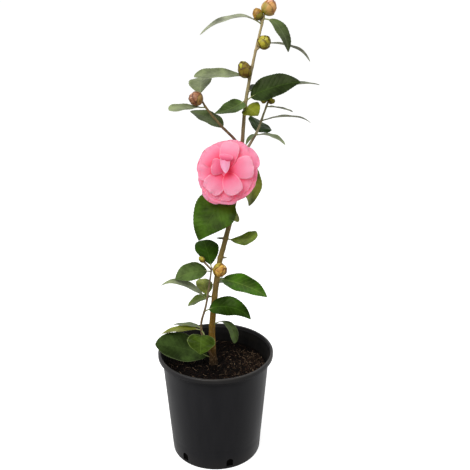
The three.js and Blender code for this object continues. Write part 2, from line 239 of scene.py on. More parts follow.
class Pile:
    def __init__(self, *materials):
        self.materials = list(materials)
        self.parts = []
        self.count = 0

    def slot(self, material):
        if material not in self.materials:
            self.materials.append(material)
        return self.materials.index(material)

    def put(self, points, faces, slots, local, pattern=None, size=None):
        slots = np.broadcast_to(slots, len(faces))
        cell = np.full(len(faces), len(self.parts))
        pattern = local if pattern is None else pattern
        size = local if size is None else size
        self.parts.append((points, faces + self.count, slots, cell, local, pattern, size))
        self.count += len(points)

    def sheet(self, upper, lower, upperMaterial, lowerMaterial, widths, lengths):
        # a closed leaf-like sheet: two grids of points, rows from foot to tip, joined round the rim
        rows, columns = upper.shape[:2]
        around = 2 * columns
        ring = np.concatenate([upper, lower[:, ::-1]], axis=1)
        faces = closedFaces(rows, around, columns - 1)
        sideways = np.linspace(0, 1, columns)
        spread = np.broadcast_to(np.concatenate([sideways, 1 - sideways]), (rows, around))
        share = np.broadcast_to((lengths / lengths[-1])[:, None], (rows, around))
        reach = np.concatenate([widths, widths[:, ::-1]], axis=1)
        run = np.broadcast_to(lengths[:, None], (rows, around))
        pattern = np.stack([spread, share], axis=-1).reshape(-1, 2)[faces]
        size = np.stack([reach * 0.01 + 0.5, run * 0.01], axis=-1).reshape(-1, 2)[faces]
        # the lower side lies beside the upper one in its own half of the cell
        rim = 0.004
        halves = np.linspace(0, 0.5 - rim, columns), np.linspace(0.5 + rim, 1, columns), [1 + rim]
        local = cellPlaces(np.concatenate(halves), np.linspace(0.02, 0.98, rows), columns - 1, 0.012)
        slots = np.full(len(faces), self.slot(lowerMaterial))
        isUpper = np.arange((rows - 1) * around) % around < columns
        slots[:len(isUpper)][isUpper] = self.slot(upperMaterial)
        self.put(ring.reshape(-1, 3), faces, slots, local, pattern, size)

    def tube(self, centres, radii, sides, material, relief=None):
        # a round length through a row of centres, closed at both ends
        centres = np.asarray(centres, float)
        rows = len(centres)
        ahead = rowUnit(np.gradient(centres, axis=0))
        side = np.empty_like(centres)
        previous = np.array([1.0, 0.02, 0.0])
        for i in range(rows):
            previous = across(previous, ahead[i])
            side[i] = previous
        third = np.cross(ahead, side)
        angles = np.linspace(0, 2 * math.pi, sides, endpoint=False)[None, :, None]
        ray = side[:, None] * np.cos(angles) + third[:, None] * np.sin(angles)
        reach = np.broadcast_to(np.asarray(radii, float)[:, None], (rows, sides))
        grid = centres[:, None] + ray * reach[..., None]
        if relief is not None:
            grid = grid + ray * relief(grid, reach)[..., None]
        runs = np.concatenate([[0], np.cumsum(np.linalg.norm(np.diff(centres, axis=0), axis=1))])
        capped = sides // 2 - 1
        local = cellPlaces(np.arange(sides + 1) / sides, 0.03 + 0.94 * runs / runs[-1], capped, 0.02)
        self.put(grid.reshape(-1, 3), closedFaces(rows, sides, capped), self.slot(material), local)

    def build(self, name):
        points, faces, slots, cell, local, pattern, size = map(np.concatenate, zip(*self.parts))
        mesh = bpy.data.meshes.new(name)
        mesh.from_pydata((points * millimetre).tolist(), [], faces.tolist())
        mesh.polygons.foreach_set("material_index", slots.astype(np.int32))
        mesh.polygons.foreach_set("use_smooth", np.ones(len(faces), bool))
        columns = math.ceil(math.sqrt(len(self.parts)))
        atlas = local * (1 - 2 * cellMargin) + cellMargin
        atlas = (atlas + np.stack([cell % columns, cell // columns], -1)[:, None]) / columns
        for layer, values in (("OFBake", atlas), ("pattern", pattern), ("size", size)):
            values = values.reshape(-1).astype(np.float32)
            mesh.uv_layers.new(name=layer).data.foreach_set("uv", values)
        for material in self.materials:
            mesh.materials.append(material)
        mesh.validate()
        return placed(name, mesh)


def placed(name, data):
    made = bpy.data.objects.new(name, data)
    bpy.context.scene.collection.objects.link(made)
    return made


def dress(piece, slot, *nodes):
    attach(piece, "root")
    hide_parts(*nodes)
    print(piece.name, "made:", len(piece.data.polygons), "faces")


# camera, studio and floor

view = {
    "place": (0.0, -1.090, 0.808),
    "pitch": 20.3,
    "yaw": 1.77,
    "lens": 54.3,
    "sensor": 36.0,
}
studio = {
    "skyFront": 0.22, "skyBack": 0.85,
    "keyPlace": (-0.8, -1.2, 1.9), "keySize": 1.5, "keyPower": 37.0,
    "fillPlace": (1.5, -0.4, 1.2), "fillSize": 1.2, "fillPower": 6.0,
    "floor": "#f4f4f3", "floorGlow": 0.62, "floorReach": 40.0,
    "target": (0.0, 0.0, 0.4),
}

lens = bpy.data.cameras.new("camera")
lens.lens = view["lens"]
lens.sensor_width = view["sensor"]
lens.clip_end = 100
camera = placed("camera", lens)
camera.location = view["place"]
camera.rotation_euler = (math.radians(90 - view["pitch"]), 0, math.radians(-view["yaw"]))
bpy.context.scene.camera = camera

world = bpy.data.worlds.new("studio")
world.use_nodes = True
sky, background = world.node_tree, world.node_tree.nodes["Background"]
skyPlace, skyParts, skyShare, skyRay, skySeen = (
    sky.nodes.new("ShaderNode" + kind)
    for kind in ("TexCoord", "SeparateXYZ", "MapRange", "LightPath", "Mix"))
# the room is white behind the plant and dimmer in front of it
for socket, value in enumerate((-0.35, 0.75, studio["skyFront"], studio["skyBack"]), 1):
    skyShare.inputs[socket].default_value = value
# a view from any side still meets a white wall
skySeen.inputs[3].default_value = studio["skyBack"]
background.inputs[0].default_value = (1, 1, 1, 1)
for source, target in ((skyPlace.outputs["Generated"], skyParts.inputs[0]),
                       (skyParts.outputs[1], skyShare.inputs[0]),
                       (skyRay.outputs["Is Camera Ray"], skySeen.inputs[0]),
                       (skyShare.outputs[0], skySeen.inputs[2]),
                       (skySeen.outputs[0], background.inputs[1])):
    sky.links.new(source, target)
bpy.context.scene.world = world
bpy.context.scene.view_settings.view_transform = "Standard"


def softLight(name, place, size, power):
    lamp = bpy.data.lights.new(name, "AREA")
    lamp.size = size
    lamp.energy = power
    made = placed(name, lamp)
    made.location = place
    aim = Vector(studio["target"]) - Vector(place)
    made.rotation_euler = aim.to_track_quat("-Z", "Y").to_euler()


softLight("keyLight", studio["keyPlace"], studio["keySize"], studio["keyPower"])
softLight("fillLight", studio["fillPlace"], studio["fillSize"], studio["fillPower"])

reach = studio["floorReach"]
floorMesh = bpy.data.meshes.new("floor")
floorMesh.from_pydata([(-reach, -reach, 0), (reach, -reach, 0), (reach, reach, 0), (-reach, reach, 0)],
                      [], [(0, 1, 2, 3)])
paper = Shader("paleFloor", 0.9, Emission_Strength=studio["floorGlow"], Specular_IOR_Level=0.1)
paper.body.inputs["Emission Color"].default_value = (1, 1, 1, 1)
floorMesh.materials.append(paper.finish(studio["floor"]))
floor = placed("floor", floorMesh)
# the floor is seen but throws no glare back on the plant
floor.visible_diffuse = False
floor.visible_glossy = False
print("studio made")


# the pot

pot = {
    "height": 192, "rimRadius": 100, "bandRadius": 97.6, "shoulderRadius": 92.6, "footRadius": 78.2,
    "wall": 2.2, "floor": 4, "lipHeight": 8, "bandHeight": 12, "stepHeight": 38, "step": 0.9,
    "sides": 160, "crease": 38,
    "plastic": "#242427", "sheen": "#302f32", "worn": "#3c3833", "dust": "#3d3832",
    # the inside tint is the plastic darkened with painted shade
    "inside": "#121213", "insideDust": "#211e1b",
}
drain = {"count": 6, "first": -73.5, "width": 12, "height": 16.5, "sill": 4, "depth": 16}


def wallRadius(height):
    return mixed(pot["footRadius"], pot["shoulderRadius"], height / (pot["height"] - pot["bandHeight"]))


def innerRadius(height):
    return wallRadius(height) - pot["wall"]


def potPlastic():
    made = Shader("blackPlastic", 0.42, Specular_IOR_Level=0.32)
    streaks = made.clouds((60, 60, 9), 4)
    grain = made.clouds(900, 2)
    patches = made.clouds(22)
    height = made.parts(made.place)[2]
    worn = made.times(made.ramp(made.times(height, 5.0), (0.9, 0.0), (0.955, 0.55), (0.965, 0.9)),
                      made.ramp(patches, (0.35, 0.15), (0.65, 1.0)))
    tint = made.blend(made.ramp(streaks, (0.35, 0.0), (0.75, 0.55)), pot["plastic"], pot["sheen"])
    tint = made.blend(worn, tint, pot["worn"])
    low = made.times(made.ramp(made.times(height, 25.0), (0.0, 0.6), (0.7, 0.0)), patches)
    tint = made.blend(low, tint, pot["dust"])
    relief = made.times(grain, 0.25, made.times(streaks, 0.6))
    return made.finish(tint, relief, 0.25, 0.0006, made.times(streaks, 0.22, 0.33))


def shadedInsidePlastic():
    # the wall inside is darkened with painted shade, as it is out of the light, and it is dusted with the mix
    made = Shader("shadedInsidePlastic", 0.7, Specular_IOR_Level=0.1)
    dusty = made.clouds((60, 60, 30), 4)
    tint = made.ramp(dusty, (0.3, pot["inside"]), (0.75, pot["insideDust"]))
    return made.finish(tint, dusty, 0.2, 0.0006)


def meshFrom(name, points, faces):
    mesh = bpy.data.meshes.new(name)
    mesh.from_pydata((np.array(points) * millimetre).tolist(), [], faces)
    return mesh


def turned(name, profile, sides, material):
    # a profile of radii and heights spun round the upright axis, which both its ends lie on
    rings, points, faces = [], [], []
    for radius, height in profile:
        turns = [2 * math.pi * i / sides for i in range(sides if radius else 1)]
        ring = [len(points) + i for i in range(len(turns))]
        rings.append(ring if radius else ring * sides)
        points += [(radius * math.cos(t), radius * math.sin(t), height) for t in turns]
    for low, high in zip(rings, rings[1:]):
        for i in range(sides):
            n = (i + 1) % sides
            faces.append(tuple(dict.fromkeys((low[i], low[n], high[n], high[i]))))
    mesh = meshFrom(name, points, faces)
    mesh.materials.append(material)
    return placed(name, mesh)


def arc(centre, radius, start, end, steps):
    turns = np.radians(np.linspace(start, end, steps + 1))
    return [(centre[0] + radius * math.cos(t), centre[1] + radius * math.sin(t)) for t in turns]


def potProfile():
    # up the outside from the middle of the underside, over the rim and down the inside
    height, rim, band, foot = pot["height"], pot["rimRadius"], pot["bandRadius"], pot["footRadius"]
    shoulder, lip, low = height - pot["bandHeight"], height - pot["lipHeight"], pot["stepHeight"]
    side, lowSide = wallRadius(shoulder), wallRadius(low)
    profile = [(0, 0), (foot - 6, 0)]
    profile += arc((foot - 1.5, 1.5), 1.5, -90, 0, 5)
    profile += [(wallRadius(h), h) for h in (4, 10, 18, 28)]
    profile += [(lowSide - pot["step"], low - 1), (lowSide - pot["step"] + 0.1, low - 0.6)]
    profile += [(wallRadius(h), h) for h in (low, low + 1, 60, 90, 120, 150, shoulder - 2)]
    profile += [(side + 0.1, shoulder - 0.6), (side + 0.8, shoulder), (band - 1.6, shoulder + 0.5)]
    profile += arc((band - 1.0, shoulder + 1.4), 1.0, -60, 0, 4)
    profile += [(band, lip - 1.3), (band - 0.5, lip - 0.8), (band - 1.4, lip - 0.4), (rim - 2.6, lip - 0.1)]
    profile += arc((rim - 1.6, lip + 1.4), 1.6, -60, 0, 5)
    profile += arc((rim - 1.8, height - 1.8), 1.8, 0, 90, 6)
    profile += arc((rim - 3.2, height - 1.4), 1.4, 90, 180, 5)
    profile += [(rim - 5.2, height - 6), (innerRadius(shoulder) + 1, shoulder)]
    profile += [(innerRadius(shoulder), shoulder - 4), (innerRadius(90), 90)]
    profile += [(innerRadius(pot["floor"]), pot["floor"])]
    return profile + [(0, pot["floor"])]


def drainCutters():
    half, depth, foot = drain["width"] / 2, drain["depth"] / 2, pot["footRadius"]
    arch = [(-half, 0), (half, 0)] + arc((0, drain["height"] - half), half, 0, 180, 10)
    n = len(arch)
    faces = [tuple(range(n)), tuple(range(2 * n - 1, n - 1, -1))]
    faces += [(k, k + n, (k + 1) % n + n, (k + 1) % n) for k in range(n)]
    cutters = bpy.data.collections.new("slots")
    bpy.context.scene.collection.children.link(cutters)
    for i in range(drain["count"]):
        turn = math.radians(drain["first"] + 90 + i * 360 / drain["count"])
        points = [(x * math.cos(turn) + out * math.sin(turn), x * math.sin(turn) - out * math.cos(turn),
                   z + drain["sill"]) for out in (foot + depth, foot - depth) for x, z in arch]
        cutters.objects.link(bpy.data.objects.new("slot", meshFrom("slot", points, faces)))
    return cutters


def makePot():
    shell = turned("nurseryPot", potProfile(), pot["sides"], potPlastic())
    cutters = drainCutters()
    cut = shell.modifiers.new("slots", "BOOLEAN")
    cut.operand_type = "COLLECTION"
    cut.collection = cutters
    cut.solver = "EXACT"
    bpy.context.view_layer.update()
    evaluated = shell.evaluated_get(bpy.context.evaluated_depsgraph_get())
    finished = bpy.data.meshes.new_from_object(evaluated)
    shell.modifiers.clear()
    shell.data = finished
    for cutter in list(cutters.objects):
        bpy.data.objects.remove(cutter)
    bpy.data.collections.remove(cutters)
    finished.shade_smooth()
    finished.set_sharp_from_angle(angle=math.radians(pot["crease"]))
    finished.materials.append(shadedInsidePlastic())
    # the faces of the inner wall take the darker plastic with its painted shade
    for face in finished.polygons:
        x, y, z = face.center / millimetre
        inward = x * face.normal.x + y * face.normal.y < -0.3 * math.hypot(x, y)
        if inward and pot["floor"] < z < pot["height"] - 6:
            face.material_index = 1
    return shell


dress(makePot(), "pot", "pot")


# the potting mix

mix = {
    "top": 163, "lump": 2.2, "level": 16, "wallGap": 0.35, "lift": 0.3, "eye": 0.02, "trunkAt": (-4, 5),
    "rings": 60, "sides": 120,
    "chips": 6400, "chipLong": (1.2, 5.5), "chipWide": (0.6, 2.0), "chipThick": (0.5, 1.3),
    "threads": 150, "threadLong": (7, 15), "threadThick": 0.4, "clearWall": 4.0, "clearTrunk": 8,
    "tilt": 15, "threadTilt": 5, "roll": 22, "uneven": (0.55, 1.1), "seed": 11,
    "edge": (70, 86), "sunk": 0.9, "rough": ((0.22, 3.0, 0.9), (0.6, 9.0, 0.5)),
    "sliverSide": 14, "sliverMore": 50, "sliverMiddle": -8, "sliverReach": 58, "sliverChances": (0.4, 0.85),
    "sliverTints": ["barkRed", "barkRed", "barkTan", "barkTan", "barkPale"],
    "threadTints": ["barkTan", "barkPale", "barkRed"],
    "chipTints": {
        "barkDark": ("#0a0605", 46), "barkBrown": ("#18100c", 34), "barkRed": ("#32211a", 9),
        "barkTan": ("#4a382a", 3), "barkGrey": ("#1a1613", 8), "barkPale": ("#8a735c", 1),
    },
}


def mixTop(x, y):
    radius = math.hypot(x, y)
    calm = smooth(mix["level"], 2 * mix["level"], fromTrunk(x, y))
    edge = 1 - smooth(*mix["edge"], radius)
    waves = math.sin(x / 9 + 1) * math.cos(y / 7) + math.sin((x + y) / 5)
    return mix["top"] - mix["lump"] * calm * edge * (0.5 + 0.25 * waves)


def fromTrunk(x, y):
    return math.hypot(x - mix["trunkAt"][0], y - mix["trunkAt"][1])


def barkChip(name, tint):
    made = Shader(name, 0.85, Specular_IOR_Level=0.12)
    fibres = made.clouds((300, 300, 900))
    return made.finish(made.shaded(tint, made.ramp(fibres, (0.3, 0.55), (0.7, 1.25))), fibres, 0.6, 0.0008)


def dampMix():
    made = Shader("dampMix", 0.9, Specular_IOR_Level=0.1)
    lumps = made.clouds(260, 5, 0.7)
    tint = made.ramp(lumps, (0.3, "#050303"), (0.5, "#0c0806"), (0.62, "#17100c"), (0.75, "#2c1d15"))
    return made.finish(tint, lumps, 0.9, 0.002)


def makeMixBody():
    # a filled cup that stands clear of the pot, under a rough top
    pile = Pile(dampMix())
    base, sides, steps = pot["floor"] + mix["lift"], mix["sides"], 6
    foot, inner = (innerRadius(h) - mix["wallGap"] for h in (pot["floor"], mix["top"]))
    angles = np.linspace(0, 2 * math.pi, sides, endpoint=False)
    rows = [(mix["eye"], base)]
    rows += [(mixed(foot, inner, k / steps), mixed(base, mix["top"], k / steps)) for k in range(steps)]
    grid = [[(r * math.cos(a), r * math.sin(a), z) for a in angles] for r, z in rows]
    for k in range(mix["rings"] + 1):
        radius = max(mix["eye"], inner * (1 - k / mix["rings"]))
        ring = []
        for a in angles:
            x, y = radius * math.cos(a), radius * math.sin(a)
            rough = sum(noise.noise(Vector((x * fine, y * fine, z))) * deep for fine, z, deep in mix["rough"])
            ring.append((x, y, mixTop(x, y) - mix["sunk"] + rough * (1 if k else 0)))
        grid.append(ring)
    grid = np.array(grid)
    faces = closedFaces(len(grid), sides)
    flat = grid[:, :, :2] / 240 + 0.5
    # the hidden walls need next to no room on the pattern
    flat[:len(rows) + 1] *= 0.02
    pile.put(grid.reshape(-1, 3), faces, 0, flat.reshape(-1, 2)[faces])
    return pile.build("mixBody")


def makeChips():
    chips, dice = Pile(), random.Random(mix["seed"])
    inner = innerRadius(mix["top"]) - mix["wallGap"]
    names = list(mix["chipTints"])
    weights = [mix["chipTints"][name][1] for name in names]
    finishes = {name: barkChip(name, mix["chipTints"][name][0]) for name in names}
    brick = np.array([[x, y, z] for z in (-1, 1) for y in (-1, 1) for x in (-1, 1)], float) / 2
    quads = np.array([[0, 2, 3, 1], [4, 5, 7, 6], [0, 1, 5, 4], [1, 3, 7, 5], [3, 2, 6, 7], [2, 0, 4, 6]])
    local = [[((k % 3) + 0.9 * a) / 3, ((k // 3) + 0.9 * b) / 2] for k in range(6) for a, b in corners]
    local = np.array(local).reshape(6, 4, 2)
    for k in range(mix["chips"] + mix["threads"]):
        radius = (inner - mix["clearWall"]) * math.sqrt(dice.random())
        turn = dice.uniform(0, 2 * math.pi)
        x, y = radius * math.cos(turn), radius * math.sin(turn)
        size = np.array([dice.uniform(*mix[span]) for span in ("chipLong", "chipWide", "chipThick")])
        size[:2] *= 0.6 + 0.4 * dice.random()
        finish = dice.choices(names, weights)[0]
        # paler slivers gather at the right, and thin root threads lie all over
        pale = x > mix["sliverSide"] and abs(y - mix["sliverMiddle"]) < mix["sliverReach"]
        if pale and dice.random() < mix["sliverChances"][x > mix["sliverMore"]]:
            finish = dice.choice(mix["sliverTints"])
            size[:2] *= (1.0, 0.35)
        thread = k >= mix["chips"]
        if thread:
            size = np.array([dice.uniform(*mix["threadLong"]), mix["threadThick"], mix["threadThick"]])
            finish = dice.choice(mix["threadTints"])
        shape = brick * size
        shape[:, :2] *= np.array([[dice.uniform(*mix["uneven"]) for axis in "xy"] for point in brick])
        yaw, pitch = dice.uniform(0, 360), dice.gauss(0, mix["threadTilt" if thread else "tilt"])
        roll = dice.gauss(0, mix["roll"])
        forward = heading(yaw, pitch)
        side = turnAbout(across(np.cross(up, forward), forward), forward, roll)
        third = np.cross(forward, side)
        if fromTrunk(x, y) < mix["clearTrunk"] or radius > inner - size[0] / 2 - 1.2:
            continue
        lift = mixTop(x, y) - 0.6 + dice.uniform(-0.6, 0.8) + (0.9 if thread else 0)
        moved = shape @ np.array([forward, side, third]) + [x, y, lift]
        chips.put(moved, quads, chips.slot(finishes[finish]), local)
    loose = chips.build("barkChips")
    loose.data.polygons.foreach_set("use_smooth", np.zeros(len(loose.data.polygons), bool))
    return loose


dress(makeMixBody(), "mix", "potting_mix")
dress(makeChips(), "mix", "potting_mix")


# lines of growth

lines = {
    "main": {
        "foot": 6.0, "tip": 1.9, "flare": 3.4,
        "points": [(-4, 5, 160), (-5, 5, 180), (-6, 4, 225), (-3, 2, 270), (7, 0, 352), (18, 0, 397),
                   (31.5, 0, 456), (44, 0, 548), (50, 0, 622), (60, 2, 676), (77, 5, 750)],
    },
    "left": {
        "foot": 2.6, "tip": 1.6, "flare": 0,
        "points": [(43, 0, 550), (31, -4, 567), (13, -8, 586), (-12, -12, 618), (-20, -14, 634)],
    },
    "right": {
        "foot": 2.7, "tip": 1.5, "flare": 0,
        "points": [(42, 0, 529), (54, 6, 549), (69, 12, 574), (80, 16, 603), (93, 20, 638)],
    },
    "low": {
        "foot": 2.6, "tip": 1.5, "flare": 0,
        "points": [(-5, 2, 176), (-13, -5, 194), (-20, -12, 215), (-24, -16, 250), (-15, -17, 288),
                   (-5, -11, 352)],
    },
}


def atShares(wanted, marks, path):
    return np.stack([np.interp(wanted, marks, path[:, k]) for k in range(3)], axis=-1)


def traced(points, steps=600):
    # a smooth curve through the points, at even steps of length
    p = np.array(points, float)
    ends = np.vstack([2 * p[0] - p[1], p, 2 * p[-1] - p[-2]])
    out = []
    for i in range(1, len(ends) - 2):
        a, b, c, d = ends[i - 1], ends[i], ends[i + 1], ends[i + 2]
        ta = max(1e-6, np.linalg.norm(b - a) ** 0.5)
        tb = max(1e-6, np.linalg.norm(c - b) ** 0.5)
        tc = max(1e-6, np.linalg.norm(d - c) ** 0.5)
        m1 = ((b - a) / ta - (c - a) / (ta + tb) + (c - b) / tb) * tb
        m2 = ((c - b) / tb - (d - b) / (tb + tc) + (d - c) / tc) * tb
        t = np.linspace(0, 1, 60, endpoint=False)[:, None]
        square, cube = -3 * b + 3 * c - 2 * m1 - m2, 2 * b - 2 * c + m1 + m2
        out.append(b + m1 * t + square * t ** 2 + cube * t ** 3)
    path = np.vstack(out + [p[-1:]])
    runs = np.concatenate([[0], np.cumsum(np.linalg.norm(np.diff(path, axis=0), axis=1))])
    even = np.linspace(0, runs[-1], steps + 1)
    return atShares(even, runs, path), runs[-1]


for line in lines.values():
    line["path"], line["length"] = traced(line["points"])


def rootAt(line, height):
    path = line["path"]
    return np.array([np.interp(height, path[:, 2], path[:, k]) for k in range(2)] + [height])


def shareAt(line, height):
    return float(np.interp(height, line["path"][:, 2], np.linspace(0, 1, len(line["path"]))))


# bark, and the stems

bark = {
    "step": 1.6, "trunkSides": 36, "shootSides": 24, "inset": 0.15,
    "ridges": ((0.42, 0.075, 0, 0.32), (1.1, 0.35, 7, 0.16)), "node": 0.75, "nodeHeight": 2.6,
    "nodes": {
        "main": [171, 208, 236, 294, 316, 326, 365, 399, 431, 476, 505, 517, 528, 548, 615, 625, 636,
                 657, 674, 698, 707, 736, 744],
        "left": [582, 601, 616, 633],
        "right": [545, 570, 590, 612, 634],
        "low": [215, 240, 274, 298, 347],
    },
    "scar": "#a58a68", "crack": "#3a2a20",
}


def barkFinish(name, roughness, *stops):
    made = Shader(name, roughness, Specular_IOR_Level=0.18)
    height = made.parts(made.place)[2]
    streaks = made.clouds((900, 900, 90), 5, 0.65)
    spots = made.clouds((420, 420, 260))
    tint = made.shaded(made.ramp(height, *stops), made.ramp(streaks, (0.25, 0.5), (0.5, 1.0), (0.75, 1.5)))
    tint = made.blend(made.ramp(spots, (0.56, 0.0), (0.66, 0.55)), tint, bark["scar"])
    tint = made.blend(made.ramp(spots, (0.28, 0.5), (0.38, 0.0)), tint, bark["crack"])
    return made.finish(tint, streaks, 0.7, 0.0008)


# each tint stands at its height above the ground in metres
oldBark = barkFinish(
    "tanBark", 0.8, (0.16, "#241a10"), (0.175, "#4a3620"), (0.19, "#6e5228"), (0.21, "#8f6c2a"),
    (0.27, "#98762c"), (0.32, "#a28750"), (0.35, "#8c7840"), (0.39, "#96804a"), (0.42, "#a08860"),
    (0.46, "#8c7050"), (0.56, "#8c785a"))
youngBark = barkFinish(
    "youngBark", 0.6, (0.16, "#7b5b3a"), (0.3, "#86745a"), (0.54, "#75634a"), (0.575, "#8a7a58"),
    (0.62, "#9e9268"), (0.7, "#b8a47a"), (0.75, "#b8aa7c"))
redBark = barkFinish(
    "redBark", 0.6, (0.54, "#7a5650"), (0.57, "#6e5642"), (0.6, "#84744c"), (0.63, "#947a54"))
paleBark = barkFinish(
    "paleBark", 0.6, (0.52, "#94846a"), (0.55, "#b4a888"), (0.6, "#aca680"), (0.64, "#a49e74"))


def barkRelief(heights, scale):
    marks = np.array(heights, float)

    def relief(grid, reach):
        # a swelling at each node, fuller on one side, and fine ridges everywhere
        rings = np.exp(-((grid[..., 2:3] - marks) / bark["nodeHeight"]) ** 2)
        aside = grid[..., 0:1] - grid[..., 0].mean(axis=1)[:, None, None]
        facing = np.sin(marks * 1.7) * aside / reach[..., None]
        out = (rings * (0.35 + 0.65 * np.clip(facing + 0.4, 0, 1))).max(axis=-1) * bark["node"] * scale
        for i, j in np.ndindex(out.shape):
            x, y, z = grid[i, j]
            for fine, tall, start, deep in bark["ridges"]:
                out[i, j] += noise.noise(Vector((x * fine, y * fine, z * tall + start))) * deep * scale
        return out
    return relief


def limb(pile, name, fromHeight, toHeight, sides, material, scale):
    line = lines[name]
    low, high = shareAt(line, fromHeight), shareAt(line, toHeight)
    steps = max(4, int((high - low) * line["length"] / bark["step"]))
    shares = np.linspace(low, high, steps + 1)
    centres = atShares(shares, np.linspace(0, 1, len(line["path"])), line["path"])
    radii = mixed(line["foot"], line["tip"], shares) + line["flare"] * np.exp(-shares * line["length"] / 8)
    pile.tube(centres, radii - bark["inset"], sides, material, barkRelief(bark["nodes"][name], scale))


joins = {"mixTop": 161.5, "fork": 548, "leaderTop": 612, "leftTop": 570, "rightTop": 564, "lowTop": 222,
         "overlap": 0.4, "beyond": 1000}
# where each shoot starts and ends, its bark, and the relief of the shoot and of the twig it runs on as
shoots = {
    "main": (joins["fork"], joins["leaderTop"], youngBark, 0.7, 0.6),
    "left": (0, joins["leftTop"], redBark, 0.55, 0.5),
    "right": (0, joins["rightTop"], paleBark, 0.55, 0.5),
    "low": (0, joins["lowTop"], youngBark, 0.55, 0.5),
}

trunkPile, shootPile, twigPile = Pile(), Pile(), Pile()
limb(trunkPile, "main", joins["mixTop"], joins["fork"] + joins["overlap"], bark["trunkSides"], oldBark, 1.0)
for name, (start, end, finish, shootRelief, twigRelief) in shoots.items():
    limb(shootPile, name, start, end + joins["overlap"], bark["shootSides"], finish, shootRelief)
    limb(twigPile, name, end, joins["beyond"], bark["shootSides"], finish, twigRelief)
dress(trunkPile.build("trunkBark"), "bark", "trunk")
dress(shootPile.build("shootBark"), "shoot", "leader", "left_shoot", "right_shoot", "low_shoot")


# leaves

leafShape = {"arch": 0.1, "peak": 0.5, "roll": 0, "fold": 0.2, "broad": 0.45, "petiole": 0.11, "lobe": 0,
             "wave": 0.05, "waves": 2.3, "bow": 0}
leafBuild = {
    "thickness": 0.75, "rim": 0.34, "columns": 11, "bunched": 0.92, "tooth": 3.9, "toothDepth": 0.55,
    "petioleRadius": 1.05, "petioleTaper": ((0, 0.15, 0.6, 1), (1.3, 1.0, 0.95, 0.5)),
}

# height on the line, compass azimuth, rise, length, width and finish, then what differs from leafShape
leaves = {
    "leader": ("main", "leader_foliage", [
        (736, -169, -8.5, 95, 27, "pale", dict(arch=.17, peak=.38, roll=-7)),
        (744, -33, -47, 63, 22, "ash", dict(arch=.19, peak=.4, roll=24)),
        (707, 19, -18, 94, 22, "pale", dict(arch=.135, peak=.6, roll=-4)),
        (659, -170, 2, 86, 32, "silver", dict(arch=.05, roll=-20, broad=.6)),
        (623, -18, 21, 91, 43, "dark", dict(arch=.07, peak=.4, roll=50, broad=.41)),
        (626, -145, -14, 62, 30, "moss", dict(arch=-.06, roll=-22, broad=.28)),
        (615, -54, -17, 33, 31, "olive", dict(arch=.05, roll=32, broad=.38)),
        (636, 42, 2, 62, 30, "dark", dict(arch=.08)),
    ]),
    "left": ("left", "left_foliage", [
        (616, -164, -1, 58, 26, "silver", dict(arch=.03, roll=-14, broad=.72)),
        (633, 88, 22, 57, 38, "silver", dict(arch=.05, roll=-14, broad=.62)),
        (582, 150, 20, 65, 34, "ash", dict(arch=.05, roll=-14, broad=.42, petiole=.05)),
    ]),
    "right": ("right", "right_foliage", [
        (634, 5, 7, 77, 28, "silver", dict(arch=.08, roll=-4)),
        (612, 26, -15, 51, 20, "pale", dict(arch=.04, roll=-3)),
        (590, -5, -2, 78, 22, "pale", dict(arch=.11, peak=.62, roll=-7)),
        (568, -30, -11, 53, 25, "silver", dict(arch=.12, peak=.5, roll=-6)),
        (570, 74, 13, 45, 42, "deep", dict(arch=.06, roll=30, broad=.5)),
        (570, -118, -16, 38, 8, "ash", dict(arch=.1)),
    ]),
    "low": ("low", "low_foliage", [
        (350, 109, 40, 55, 41, "deep", dict(arch=.06, broad=.62)),
        (345, -166, -7, 61, 37, "moss", dict(arch=.1, roll=-30)),
        (296, -166, 24, 85, 24, "silver", dict(arch=.17, peak=.68, roll=-10, broad=.36)),
        (300, 102, 12, 54, 28, "backlit", dict(arch=.1)),
        (274, -20, -1, 82, 38, "deep", dict(arch=.2, peak=.55, roll=30, broad=.4)),
    ]),
    "foot": ("low", "foot_foliage", [
        (238, -91, -11, 62, 47, "heart", dict(arch=.03, roll=-8, broad=.36, petiole=.36, lobe=.35, bow=-5)),
        (239, 161, -15, 77, 22, "olive", dict(arch=.07, roll=-4)),
        (244, 136, -15, 72, 22, "ash", dict(arch=.02, roll=6)),
    ]),
}
trunkLeaves = {
    "leaf_over_rim": (171, -168, 22.5, 109, 53, "matte", dict(arch=.05, roll=-38, broad=.56)),
    "leaf_over_mix": (236, -40, -17, 53, 20, "moss", dict(arch=.46, peak=.5, broad=.74, petiole=.2)),
    "leaf_low_left": (294, 167, -25, 52, 30, "spring", dict(arch=.06, roll=-8, broad=.62)),
    "leaf_low_right": (326, -24, -11, 92, 41, "fresh", dict(arch=.07, roll=18, broad=.4)),
    "leaf_low_back": (316, 55, -20, 66, 30, "moss", dict(arch=.08)),
    "leaf_curled": (399.5, -24, 12, 57, 33, "spring", dict(arch=-.1, roll=24, broad=.72)),
    "leaf_mid_back": (431, 56, -2, 25, 19, "backlit", dict(arch=.05, roll=60, broad=.55)),
    "leaf_under_bloom": (476, -151, -45, 97, 69, "broad", dict(arch=.105, roll=-42, fold=.08, broad=.34)),
    "leaf_behind_bloom": (505, 118, 4, 70, 34, "dark", dict(arch=.15)),
    "leaf_beside_bloom": (528, 8, -79, 76, 48, "backlit", dict(arch=.13, roll=48)),
}
